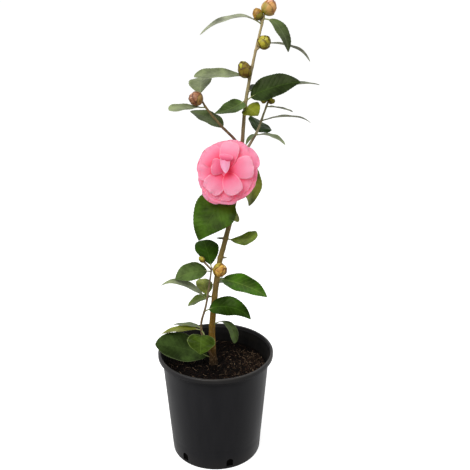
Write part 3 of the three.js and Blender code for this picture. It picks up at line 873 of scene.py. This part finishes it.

# each finish has its upper and lower tint, those of its midrib and of its rim, which is a painted edge
# highlight, its roughness and its gloss
leafFinishes = {
    "dark": ("#273318", "#5f7034", "#46601f", "#35501a", 0.34, 0.12),
    "deep": ("#27420a", "#566a2a", "#4a6a22", "#35501a", 0.34, 0.1),
    "broad": ("#36540e", "#6f8240", "#48641c", "#4c6626", 0.4, 0.12),
    "moss": ("#465b29", "#7d8a52", "#6b7f40", "#7f8c5c", 0.42, 0.25),
    "fresh": ("#345a0c", "#7d9045", "#7f9a48", "#8d9c6a", 0.34, 0.14),
    "heart": ("#36490f", "#7d9045", "#6a8636", "#7a8c48", 0.36, 0.1),
    "spring": ("#586e0e", "#8a9a4a", "#93a04e", "#8c9a4e", 0.42, 0.2),
    # backlit is a painted glow of the light that shines through a thin blade
    "backlit": ("#7f8a30", "#9ea04e", "#a8ac5c", "#a0a458", 0.45, 0.2),
    "matte": ("#394c22", "#75825a", "#4d6430", "#6a7850", 0.38, 0.12),
    "ash": ("#48552f", "#8b9570", "#75825a", "#8c967a", 0.44, 0.25),
    # the grey of silver and pale is a painted sheen of glossy blades over their own green
    "silver": ("#757f58", "#a8ad8e", "#a0a785", "#aab096", 0.42, 0.3),
    "pale": ("#8e9478", "#b4b6a0", "#b2b59d", "#b9bba8", 0.45, 0.3),
    "olive": ("#6a7018", "#8a9040", "#93974a", "#99994e", 0.42, 0.2),
}


def leafSide(name, face, rib, edge, rough, gloss, under):
    made = Shader(name, rough, Specular_IOR_Level=0.2 if under else gloss)
    made.body.inputs["Specular Tint"].default_value = (0.85, 1.0, 0.5, 1.0)
    u, v = made.uv("pattern")
    wide, run = made.uv("size")
    aside, rimward = made.fromMiddle(wide), made.rimward(u)
    patches, fine = made.clouds(38), made.clouds(420, 2)
    # side veins leave the midrib at a slant and bow towards the tip
    slant = made.minus(made.times(run, 12.0), made.times(aside, 9.5))
    line = made.stripes(made.times(patches, 0.25, slant))
    vein = made.ramp(line, (0.0, 1.0), (0.055, 0.45), (0.11, 0.0))
    vein = made.times(vein, made.ramp(rimward, (0.55, 1.0), (0.92, 0.0)))
    ribShare = made.minus(1.0, made.math("DIVIDE", aside, made.times(v, -0.0062, 0.0092)))
    ribShare = made.ramp(ribShare, (0.0, 0.0), (0.5, 1.0))
    # mottled patches are partly the blade's own uneven tone and partly a painted sheen in place of glossy
    # highlights
    tint = made.shaded(face, made.ramp(patches, (0.36, 0.42), (0.5, 0.94), (0.64, 1.62)))
    # a painted sheen: the blade is palest beside its midrib
    tint = made.blend(made.times(made.ramp(rimward, (0.0, 1.0), (0.6, 0.0)), 0.16), tint, rib)
    tint = made.blend(made.times(vein, 0.28 if under else 0.2), tint, rib)
    # a painted highlight runs along the rim
    tint = made.blend(made.ramp(rimward, (0.84, 0.0), (0.96, 0.9)), tint, edge)
    tint = made.blend(made.times(ribShare, 0.9 if under else 0.55), tint, rib)
    quilt = made.ramp(line, (0.0, 0.0), (0.18, 0.7), (0.5, 1.0))
    quilt = made.times(quilt, made.ramp(rimward, (0.4, 1.0), (0.95, 0.2)))
    # the midrib stands out below and is sunk above
    height = made.times(ribShare, 1.2 if under else -1.2, quilt)
    height = made.times(fine, 0.25, height)
    # slow swells across the blade catch the light
    height = made.times(patches, 12.0, height)
    return made.finish(tint, height, 0.3, 0.0007)


def leafFinish(name, upper, lower, rib, edge, rough, gloss):
    return (leafSide(name + "LeafTop", upper, rib, edge, rough, gloss, False),
            leafSide(name + "LeafUnder", lower, rib, edge, rough + 0.18, gloss, True))


leafMaterials = {name: leafFinish(name, *look) for name, look in leafFinishes.items()}


def stalkFinish():
    made = Shader("petiole", 0.5)
    streaks = made.clouds(200)
    tint = made.ramp(streaks, (0.3, "#7c8a4a"), (0.55, "#98a062"), (0.75, "#a3885e"))
    return made.finish(tint, streaks, 0.3, 0.0005)


petiole = stalkFinish()


def hump(share, peak):
    side = np.where(share < peak, peak, 1 - peak)
    fall = (share - peak) / side
    droop = 2.4
    return 1 - np.abs(fall) ** droop, -droop * np.sign(fall) * np.abs(fall) ** (droop - 1) / side


def outline(share, broad, fullness):
    a, b = fullness * broad, fullness * (1 - broad)
    share = np.clip(share, 0, 1)
    return share ** a * (1 - share) ** b / (broad ** a * (1 - broad) ** b)


def growLeaf(pile, root, azimuth, rise, length, width, finish, look):
    look = {**leafShape, **look}
    along = heading(azimuth, rise)
    lift = across(up, along)
    beside = turnAbout(np.cross(along, lift), along, look["roll"])

    def midrib(share):
        raised = length * look["arch"] * hump(share, look["peak"])[0]
        return root + along * (length * share)[:, None] + lift * raised[:, None]

    # three rows to a tooth, closer together at the foot and the tip
    rows = 3 * max(6, round(length / leafBuild["tooth"])) + 1
    even = np.linspace(0, 1, rows)
    t = 0.35 * even + 0.65 * (1 - np.cos(math.pi * even)) / 2
    share = look["petiole"] + (1 - look["petiole"]) * t
    half = width / 2 * outline(t, look["broad"], 1.5)
    tooth = (np.arange(rows) % 3) / 2 - 0.5
    half = np.maximum(0.28, half + leafBuild["toothDepth"] * tooth * np.clip(half / 6, 0, 1))
    ahead = rowUnit(along + lift * (look["arch"] * hump(share, look["peak"])[1])[:, None])
    side = rowUnit(beside - ahead * (ahead @ beside)[:, None])
    face = np.cross(side, ahead)[:, None]
    quarter = math.pi / 2 * leafBuild["bunched"]
    y = np.sin(np.linspace(-1, 1, leafBuild["columns"]) * quarter) / math.sin(quarter)
    wide, down = half[:, None], t[:, None]
    fold = look["fold"] * (np.sqrt(y * y + 0.012) - math.sqrt(0.012))
    phase = (azimuth * 0.37 + length) % 6.3 + 1.9 * np.sign(y)
    wave = look["wave"] * np.sin(down * look["waves"] * 2 * math.pi + phase) * np.abs(y) ** 2.2
    raised = wide * (fold + wave * smooth(0, 0.2, down))
    # the rim of a heart-shaped blade sweeps back past its foot
    back = look["lobe"] * width / 2 * np.abs(y) ** 1.5 * (1 - smooth(0, 0.35, down))
    middle = midrib(share)[:, None] + side[:, None] * (wide * -y)[..., None] + face * raised[..., None]
    middle = middle - ahead[:, None] * back[..., None]
    thick = mixed(leafBuild["rim"], leafBuild["thickness"], 1 - np.abs(y) ** 1.5) * np.clip(wide / 2, 0.35, 1)
    bead = np.exp(-(wide * y / 0.9) ** 2) * 0.45 * (1.1 - down)
    upper = middle + face * (thick / 2 - bead * 0.5)[..., None]
    lower = middle - face * (thick / 2 + bead)[..., None]
    top, under = leafMaterials[finish]
    pile.sheet(upper, lower, top, under, wide * -y, length * share)
    # the stalk runs on under the foot of the blade
    end, count = look["petiole"] + 0.1, 9
    shares = np.linspace(0, end, count)
    bow = look["bow"] * np.sin(math.pi * shares / end)
    stalk = midrib(shares) - lift * np.linspace(0, 0.5, count)[:, None] + beside * bow[:, None]
    fat = leafBuild["petioleRadius"] * np.interp(shares / end, *leafBuild["petioleTaper"])
    pile.tube(stalk, fat, 10, petiole)


def leafPiece(name, groups, singles=()):
    pile, nodes = Pile(), []
    for lineName, nodeName, entries in [leaves[group] for group in groups]:
        for height, *entry in entries:
            growLeaf(pile, rootAt(lines[lineName], height), *entry)
        nodes.append(nodeName)
    for nodeName in singles:
        height, *entry = trunkLeaves[nodeName]
        growLeaf(pile, rootAt(lines["main"], height), *entry)
        nodes.append(nodeName)
    dress(pile.build(name), "foliage", *nodes)


leafPiece("leavesTop", ["leader"])
leafPiece("leavesSides", ["left", "right"])
leafPiece("leavesLow", ["low", "foot"])
leafPiece("leavesTrunk", [], list(trunkLeaves))
budded = ["leader_foliage", "left_foliage", "right_foliage", "low_foliage"]
dress(twigPile.build("twigs"), "shoot", *budded, "foot_foliage")


# buds

buds = {
    "main": [
        (749, 0, 56, 14, 21, 24, "peach"), (738, 180, 62, 15, 14, 18, "amber"),
        (698, -32, 43, 20, 19, 21, "lime"), (655, -140, 59, 20, 19, 27, "maroon"),
    ],
    "left": [(629, -165, 8, 9, 20, 22, "rosy")],
    "right": [(621, -170, 15, 9, 11, 12, "lime"), (620, -25, 5, 6, 8, 11, "lime")],
    "low": [(349, -30, 6, 17, 22, 23, "honey"), (348, 180, 50, 25, 8, 12, "lime")],
}
# slim resting buds on the trunk itself
restingBuds = [(399, 176, 1, 10, 2.0, 13, "slim"), (365, -4, 2, 8, 1.5, 6, "worn")]
# for each look the shaded foot, body and worn rim of the outer, middle and inner scales
budLooks = {
    "peach": ("#8a8a2c #d8a860 #8a5a2c", "#b0702c #e8b06c #84481c", "#c07a50 #f2b898 #a05c3a"),
    "amber": ("#5a4a12 #94882c #6a4a1c", "#7c4f18 #c4953c #6b3c16", "#94682a #d4ad5c #7c4c20"),
    "lime": ("#5a4614 #a08a30 #583418", "#76701a #c4b83c #5c4416", "#8c861c #d2c850 #6a501c"),
    "maroon": ("#7a6a1c #8a7a28 #4a2a14", "#5a2014 #94802c #3c140e", "#84821c #ccc840 #7a5a20"),
    "rosy": ("#6a4a1c #a88444 #4e2a1c", "#703c24 #bc8460 #46201a", "#8c5438 #d8a888 #58301f"),
    "slim": ("#2c3c10 #4a6420 #2c3c10", "#34481a #54702c #34441a", "#3c501c #607c34 #3c4c1c"),
    "worn": ("#6c7058 #8c9078 #6a6450", "#747a5c #989c80 #6c6a50", "#808466 #a0a488 #787458"),
    "honey": ("#7c6414 #c0ac38 #84501c", "#a86a1c #eebe58 #803a12", "#bc8428 #f4d078 #904c1c"),
}
budShape = {
    "taper": 0.22, "scales": 10, "thickness": 0.5, "rows": 15, "columns": 9, "lift": 0.055,
    "core": 13, "coreLong": 0.88, "coreWide": 0.86,
}


def budScale(name, foot, body, rim):
    made = Shader(name, 0.42, Specular_IOR_Level=0.35)
    u, v = made.uv("pattern")
    streaks, patches = made.clouds(500), made.clouds(160, 2)
    tint = made.ramp(made.times(streaks, 0.2, v), (0.35, foot), (0.78, body))
    tint = made.blend(made.ramp(patches, (0.48, 0.0), (0.6, 0.6)), tint, foot)
    tint = made.blend(made.times(made.edge(u, v, 0.8, 0.87, 0.97), 0.85), tint, rim)
    return made.finish(tint, streaks, 0.3, 0.0006)


budMaterials = {
    name: [budScale(name + "Scale" + part, *tints.split())
           for part, tints in zip(("Outer", "Middle", "Inner"), look)]
    for name, look in budLooks.items()
}


def growBud(pile, twig, root, azimuth, rise, reach, width, length, finish):
    along = heading(azimuth, rise)
    first = across(up if abs(along[2]) < 0.95 else np.array([1.0, 0, 0]), along)
    second = np.cross(along, first)
    centre = root + along * reach
    taper, scales = budShape["taper"], budShape["scales"]
    outerScale, middleScale, innerScale = budMaterials[finish]
    stalk = root + along * np.linspace(0, reach - length * 0.3, 7)[:, None]
    twig.tube(stalk, np.linspace(1.5, 2.0, 7), 10, youngBark)

    def onEgg(polar, turn, swell):
        # polar runs from 0 at the foot to pi at the tip
        y = -np.cos(polar) / 2
        slim = width * (1 - taper * 2 * y) * np.sin(polar) / 2 + swell * np.sin(polar)
        out = first * np.cos(turn)[..., None] + second * np.sin(turn)[..., None]
        return centre + along * (y * (length + 2 * swell))[..., None] + out * slim[..., None]

    # a closed core, then scales that climb it in a spiral
    polar = np.linspace(0.05, math.pi - 0.02, budShape["core"])
    core = centre + along * (-np.cos(polar) / 2 * length * budShape["coreLong"])[:, None]
    radii = width * budShape["coreWide"] * (1 + taper * np.cos(polar)) * np.sin(polar) / 2
    pile.tube(core, np.maximum(radii, 0.05), 20, middleScale)
    s = np.linspace(0, 1, budShape["rows"])
    y = np.linspace(-1, 1, budShape["columns"])
    for k in range(scales):
        age = k / (scales - 1)
        turn = math.radians(137.5 * k + azimuth * 2.3 + width * 7)
        reachUp = mixed(0.42, 0.985, age ** 0.75) * math.pi
        wide = math.radians(mixed(66, 92, age) if age < 0.8 else 80)
        half = (wide * np.maximum(0.05, outline(mixed(0.2, 1, s), 0.5, 0.75)))[:, None]
        angles = turn + half * y
        polars = np.broadcast_to(mixed(0.12, reachUp, s)[:, None], angles.shape)
        lip = budShape["lift"] * width * (1 - 0.7 * age) * s ** 4
        swell = mixed(0.9, -0.35, age) + lip[:, None] - 0.3 * y ** 2 * (1 - age)
        outer = onEgg(polars, angles, swell)
        inner = onEgg(polars, angles, swell - budShape["thickness"])
        material = outerScale if age < 0.3 else middleScale if age < 0.68 else innerScale
        pile.sheet(outer, inner, material, material, half * y * width / 2, 0.5 + length * s)


budPile, budTwigs, restingPile = Pile(), Pile(), Pile()
for lineName, entries in buds.items():
    for height, *entry in entries:
        growBud(budPile, budTwigs, rootAt(lines[lineName], height), *entry)
dress(budPile.build("buds"), "foliage", *budded)
dress(budTwigs.build("budStalks"), "shoot", *budded)
for height, *entry in restingBuds:
    growBud(restingPile, restingPile, rootAt(lines["main"], height), *entry)
dress(restingPile.build("restingBuds"), "bark", "trunk")


# the bloom

bloom = {
    "height": 517, "centre": (20, -33, 521), "azimuth": -102, "rise": 22,
    "stalk": 2.4, "thickness": 0.7, "rows": 23, "columns": 17,
    "calyxBehind": 14, "calyxReach": 2, "calyxWidth": 19, "calyxLength": 18,
}
# each petal's angle round the flower from its right, reach and width, then how far forward
# of the heart it starts, ends and bows, and what differs from petalShape
petalShape = {"at": (0, 0), "start": 4, "broad": 0.66, "full": 0.8, "cup": 0.05, "fold": 0, "ripple": 1.2}
petals = {
    "petalBack": [
        (110, 50, 44, -5, -7, 4, {}), (74, 52, 42, -6, -6, 4, {}), (33, 54, 40, -6, -7, 4, {}),
        (54, 47, 34, -4, -2, 4, {}), (-12, 48, 42, -6, -6, 4, {}), (-38, 49, 42, -5, -6, 4, {}),
        (-66, 48, 44, -6, -7, 4, {}), (-98, 51, 52, -5, -6, 4, dict(ripple=0.5)),
        (-121, 55, 38, -6, -9, 4, {}), (-145, 49, 42, -5, -6, 4, {}), (-170, 46, 42, -6, -6, 4, {}),
        (160, 50, 42, -5, -6, 4, {}), (133, 50, 40, -6, -8, 4, {}),
    ],
    "petalMiddle": [
        (-100, 46, 40, -3, -3, 4, dict(ripple=0.5)), (-36, 44, 38, -3, -3, 5, dict(ripple=0.6)),
        (178, 46, 36, -1, 2, 6, {}), (138, 49, 36, 0, 2, 6, {}),
    ],
    "petalFront": [
        (-128, 42, 34, 0, 4, 5, {}),
        (13, 44, 36, 1, 6, 5, dict(ripple=0.6, broad=0.72, full=1.0, start=2)),
        (-62, 40, 30, 2, 8, 5, dict(ripple=0.6, start=2)), (83, 47, 30, 2, 6, 7, dict(ripple=0.5)),
    ],
    "petalInner": [
        (174, 21, 26, 3, 12, 4, dict(cup=0.12, at=(-2, 4), start=1, ripple=0.8)),
        (84, 12, 22, 14, 17, 3, dict(cup=0.3, at=(-0.5, 13), start=1, ripple=0.3)),
        (-100, 10, 16, 0, 2, 1, dict(start=0, ripple=0.1)), (40, 10, 16, 0, 2, 1, dict(start=0, ripple=0.1)),
    ],
    "petalHeart": [
        (-77, 29, 16, 12, 22, 3,
         dict(at=(-3.8, 23), start=0, broad=0.24, full=0.7, fold=-0.8, cup=0, ripple=0.1)),
    ],
}
# three tints along a petal from its foot, that of its rim, and how far the first one reaches. The dark foot
# is partly the petal's own deeper colour and partly painted shade where petals crowd the heart, and in the
# middle ring it reaches far out as a painted shadow; the pale rim is partly its own margin and partly a
# painted highlight
petalFinishes = {
    "petalBack": ("#e04a6c", "#f8809e", "#fa94b0", "#fcb4c6", 0.3),
    "petalMiddle": ("#e0304f", "#f87896", "#fb9ab4", "#fdb8ca", 0.44),
    "petalFront": ("#de1f3e", "#f87898", "#fca8c0", "#ffc4d2", 0.24),
    "petalInner": ("#d01e42", "#f2688c", "#fa8aa8", "#ffc4d2", 0.16),
    "petalHeart": ("#f08aac", "#f2a3c4", "#f4b4d2", "#f9cfe0", 0.16),
}


def petalFinish(name, foot, body, face, rim, deep):
    made = Shader(name, 0.6, Specular_IOR_Level=0.25, Subsurface_Weight=0.5, Subsurface_Scale=0.006)
    made.body.inputs["Subsurface Radius"].default_value = (1.0, 0.35, 0.4)
    # a painted glow: a faint red emission stands in for the light that a thin petal lets through
    made.body.inputs["Emission Color"].default_value = (1.0, 0.1, 0.22, 1.0)
    made.body.inputs["Emission Strength"].default_value = 0.16
    u, v = made.uv("pattern")
    patches = made.clouds(60)
    fan = made.times(made.math("DIVIDE", made.minus(u, 0.5), made.times(v, 0.4, 0.8)), 46.0)
    vein = made.ramp(made.stripes(made.times(patches, 1.6, fan)), (0.0, 1.0), (0.16, 0.0))
    # the dark foot is partly the petal's own colour and partly painted shade, and the pale rim partly its own
    # colour and partly a painted highlight
    tint = made.ramp(made.times(patches, 0.16, v), (deep, foot), (deep + 0.26, body), (0.88, face))
    tint = made.blend(made.times(vein, 0.22), tint, foot)
    tint = made.blend(made.times(made.edge(u, v, 0.84, 0.9, 1.0), 0.55), tint, rim)
    return made.finish(tint, made.times(vein, -0.5, patches), 0.5, 0.001)


petalMaterials = {name: petalFinish(name, *look) for name, look in petalFinishes.items()}
facing = heading(bloom["azimuth"], bloom["rise"])
heart = np.array(bloom["centre"], float)
flowerRight = unit(np.cross(up, facing))
flowerUp = np.cross(facing, flowerRight)


def growPetal(pile, angle, reach, width, front, lip, crown, look, material, seed):
    look = {**petalShape, **look}
    dice = random.Random(seed)
    spread = flowerRight * math.cos(math.radians(angle)) + flowerUp * math.sin(math.radians(angle))
    beside = np.cross(facing, spread)
    origin = heart + flowerRight * look["at"][0] + flowerUp * look["at"][1]
    even = np.linspace(0, 1, bloom["rows"])
    s = mixed(even, (1 - np.cos(math.pi * even)) / 2, 0.75)[:, None]
    y = np.linspace(-1, 1, bloom["columns"])[None]
    half = np.maximum(1.0, width / 2 * outline(s, look["broad"], look["full"]))
    notch = 0.05 * np.exp(-(y / 0.22) ** 2) * s ** 5
    reached = look["start"] + (reach - look["start"]) * s * (1 - notch - 0.03 * y * y * s)
    phase, turns = dice.uniform(0, 6.3), dice.uniform(1.2, 2.0)
    forward = mixed(front, lip, s ** 1.5) + crown * np.sin(math.pi * s ** 0.9)
    forward = forward - look["cup"] * half * y * y + look["fold"] * half * np.abs(y)
    forward = forward + look["ripple"] * s ** 2 * np.sin(turns * math.pi * y + phase)
    forward = forward + dice.uniform(-1.2, 1.2) * s * y
    middle = origin + spread * reached[..., None] + beside * (half * y)[..., None]
    middle = middle + facing * forward[..., None]
    thin = facing * (bloom["thickness"] / 2 * (1 - 0.5 * y * y * s))[..., None]
    pile.sheet(middle - thin, middle + thin, material, material, half * y, 3 + reach * s[:, 0])


petalPile = Pile()
for name, ring in petals.items():
    for entry in ring:
        # every petal has its own seed, counted from 1
        growPetal(petalPile, *entry, petalMaterials[name], len(petalPile.parts) + 1)
dress(petalPile.build("petals"), "petals", "bloom")

calyxPile, bloomStalk = Pile(), Pile()
growBud(calyxPile, bloomStalk, heart - facing * bloom["calyxBehind"], bloom["azimuth"], bloom["rise"],
        bloom["calyxReach"], bloom["calyxWidth"], bloom["calyxLength"], "lime")
stalkRoot, steps = rootAt(lines["main"], bloom["height"]), 9
stalkLine = stalkRoot + (heart - stalkRoot) * np.linspace(0.05, 0.75, steps)[:, None]
bloomStalk.tube(stalkLine, np.full(steps, bloom["stalk"]), 12, youngBark)
dress(calyxPile.build("calyx"), "foliage", "bloom")
dress(bloomStalk.build("bloomStalk"), "shoot", "bloom")
